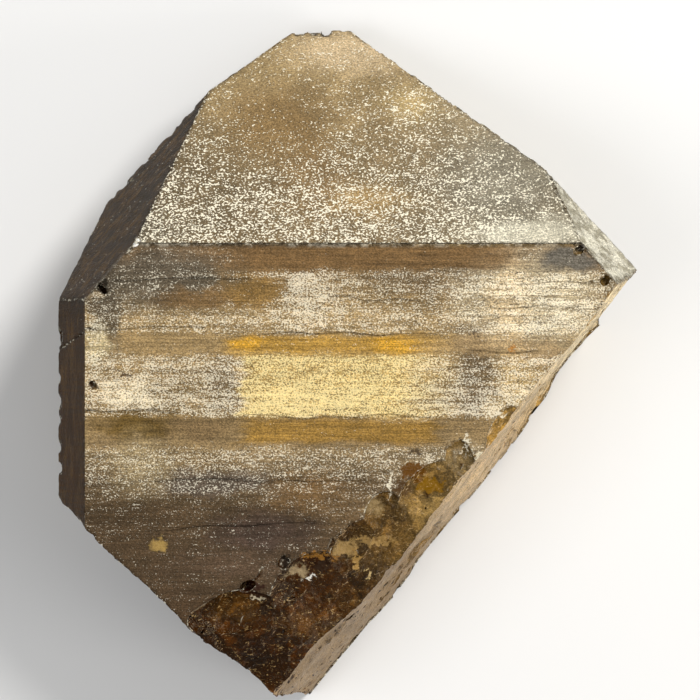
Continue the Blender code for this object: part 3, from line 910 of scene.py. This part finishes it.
def roughSurface(stone, prism, breaks, specks):
    tree = stone.tree
    rough = mixValue(tree, stone.isBroken, 0.44, mixValue(tree, breaks.onStrip, 0.14, 0.42))
    rough = mixValue(tree, calc(tree, "MULTIPLY", prism.stripes, stone.isPrism), rough, 0.30)
    rough = calc(tree, "MULTIPLY_ADD", specks.outputs["Mask"], 0.12, rough)
    return calc(tree, "MULTIPLY_ADD", calc(tree, "SUBTRACT", stone.lines, 0.5), 0.20, rough)


def fineRelief(stone, specks, offPrism):
    tree = stone.tree
    height = calc(tree, "MULTIPLY", specks.outputs["Grain"], mixValue(tree, stone.isBroken, 1.5, 0.3))
    lift = calc(tree, "ADD", stone.lines, calc(tree, "MULTIPLY", stone.fine, 0.5))
    height = calc(tree, "MULTIPLY_ADD", lift, mixValue(tree, offPrism, 1.4, 0.1), height)
    crumbs = softNoise(tree, stone.place, 1.1, 3.0, 0.66)
    height = calc(tree, "MULTIPLY_ADD", crumbs, calc(tree, "MULTIPLY", stone.isBroken, 2.4), height)
    bump = addNode(tree, "ShaderNodeBump")
    bump.inputs["Strength"].default_value = citrine["reliefStrength"]
    bump.inputs["Distance"].default_value = citrine["reliefDepth"]
    link(tree, height, bump.inputs["Height"])
    return bump.outputs[0]


def makeCitrine():
    material = bpy.data.materials.new("smokyCitrine")
    material.use_nodes = True
    tree = material.node_tree
    shader = tree.nodes["Principled BSDF"]
    stone = readStone(tree)
    prism, rhomb, sides, breaks = paintPrism(stone), paintRhomb(stone), paintSides(stone), paintBreaks(stone)

    onFront = smoothStep(tree, stone.facingZ, 0.50, 0.72)
    frontRhomb = calc(tree, "MULTIPLY", stone.isRhomb, onFront)
    base = mixColour(tree, stone.isPrism, sides.colour, prism.colour)
    base = mixColour(tree, frontRhomb, base, rhomb.colour)
    base = mixColour(tree, stone.isBroken, base, breaks.colour)
    density = mixValue(tree, stone.isPrism, mixValue(tree, sides.backward, 0.04, 0.34), prism.crowd)
    density = mixValue(tree, frontRhomb, density, rhomb.crowd)
    density = mixValue(tree, stone.isBroken, density, 0.02)

    offPrism = calc(tree, "MAXIMUM", stone.isRhomb, stone.isBroken)
    base = scaledColour(tree, base, shadeSurface(stone, breaks, offPrism))

    # wavy dark lines, closest together on the pale right side
    vein = softNoise(tree, stretched(tree, stone.place, (0.42, 1.15, 0.8)), 1.0, 2.0, 0.6)
    veins = smoothStep(tree, calc(tree, "ABSOLUTE", calc(tree, "SUBTRACT", vein, 0.5)), 0.022, 0.006)
    veinShare = calc(tree, "MULTIPLY", calc(tree, "MULTIPLY_ADD", prism.bright, 0.55, 0.22), stone.isPrism)
    colour = mixColour(tree, calc(tree, "MULTIPLY", veins, veinShare), base, citrine["pitShadeAndDarkLines"])

    density = driftSpecks(stone, density, offPrism)
    colour, specks = addSpecks(stone, colour, base, density, prism)
    ragged = wandered(tree, stone.place, (0.9, 0.9, 0.9), (4.2, 4.2, 0.0), 3.0)
    colour = mixColour(tree, onFront, colour, paintClouds(stone, colour, marks, ragged))
    link(tree, wearEdges(stone, colour, veins), shader.inputs["Base Color"])
    link(tree, roughSurface(stone, prism, breaks, specks), shader.inputs["Roughness"])
    link(tree, fineRelief(stone, specks, offPrism), shader.inputs["Normal"])

    shader.inputs["IOR"].default_value = citrine["ior"]
    shader.inputs["Specular IOR Level"].default_value = citrine["glossLevel"]
    shader.inputs["Specular Tint"].default_value = citrine["glossColour"]
    shader.inputs["Transmission Weight"].default_value = citrine["transmission"]
    absorb = addNode(tree, "ShaderNodeVolumeAbsorption")
    absorb.inputs["Color"].default_value = citrine["absorbColour"]
    absorb.inputs["Density"].default_value = citrine["absorbDensity"]
    link(tree, absorb.outputs[0], tree.nodes["Material Output"].inputs["Volume"])
    return material


crystalPiece = makeCrystal()
crystalPiece.data.materials.append(makeCitrine())
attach(crystalPiece, "root")
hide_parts(crystal["node"])


# studio

studio = {
    "floorSize": 6.0,
    "floorGap": 0.00015,
    "floorColour": (0.72, 0.72, 0.715, 1.0),
    "worldColour": (1.0, 1.0, 1.0, 1.0),
    "worldStrength": 0.40,
    "viewHeight": 1.0,       # from the front face to the camera, m
    "viewWidth": 0.11475,    # what the view's width takes in at the front face, m
    "viewCentre": (0.00024, 0.00227),
}

# name, place, aim, size, power, colour
lamps = (
    ("keyLamp", (0.55, 0.60, 0.85), (0.0, 0.01, 0.02), 0.45, 12.5, (1.0, 0.98, 0.95)),
    ("fillLamp", (-0.70, -0.25, 0.95), (0.0, 0.0, 0.02), 0.70, 4.0, (0.97, 0.98, 1.0)),
    ("sideLamp", (0.75, -0.35, 0.30), (0.0, 0.0, 0.02), 0.40, 3.0, (1.0, 0.98, 0.95)),
)


def makeFloor():
    bm = bmesh.new()
    bmesh.ops.create_grid(bm, x_segments=2, y_segments=2, size=studio["floorSize"] / 2.0)
    bmesh.ops.translate(bm, verts=bm.verts[:], vec=(0.0, 0.0, -studio["floorGap"]))
    mesh = bpy.data.meshes.new("studioFloor")
    bm.to_mesh(mesh)
    bm.free()
    floor = bpy.data.objects.new("studioFloor", mesh)
    bpy.context.scene.collection.objects.link(floor)
    paper = bpy.data.materials.new("palePaper")
    paper.use_nodes = True
    shader = paper.node_tree.nodes["Principled BSDF"]
    shader.inputs["Base Color"].default_value = studio["floorColour"]
    shader.inputs["Roughness"].default_value = 0.8
    mesh.materials.append(paper)


def makeWorld():
    world = bpy.data.worlds.new("studioWorld")
    world.use_nodes = True
    back = world.node_tree.nodes["Background"]
    back.inputs["Color"].default_value = studio["worldColour"]
    back.inputs["Strength"].default_value = studio["worldStrength"]
    bpy.context.scene.world = world


def makeLamps():
    for name, place, aim, size, power, colour in lamps:
        lamp = bpy.data.lights.new(name, "AREA")
        lamp.shape = "DISK"
        lamp.size = size
        lamp.energy = power
        lamp.color = colour
        holder = bpy.data.objects.new(name, lamp)
        holder.location = place
        holder.rotation_euler = (Vector(aim) - Vector(place)).to_track_quat("-Z", "Y").to_euler()
        bpy.context.scene.collection.objects.link(holder)


def makeCamera():
    data = bpy.data.cameras.new("studioCamera")
    data.sensor_width = 36.0
    data.lens = data.sensor_width * studio["viewHeight"] / studio["viewWidth"]
    camera = bpy.data.objects.new("studioCamera", data)
    camera.location = (*studio["viewCentre"], cadHigh.z + studio["viewHeight"])
    bpy.context.scene.collection.objects.link(camera)
    bpy.context.scene.camera = camera


makeFloor()
makeWorld()
makeLamps()
makeCamera()
bpy.context.scene.view_settings.view_transform = "Standard"
print("studio: floor, lamps and camera")
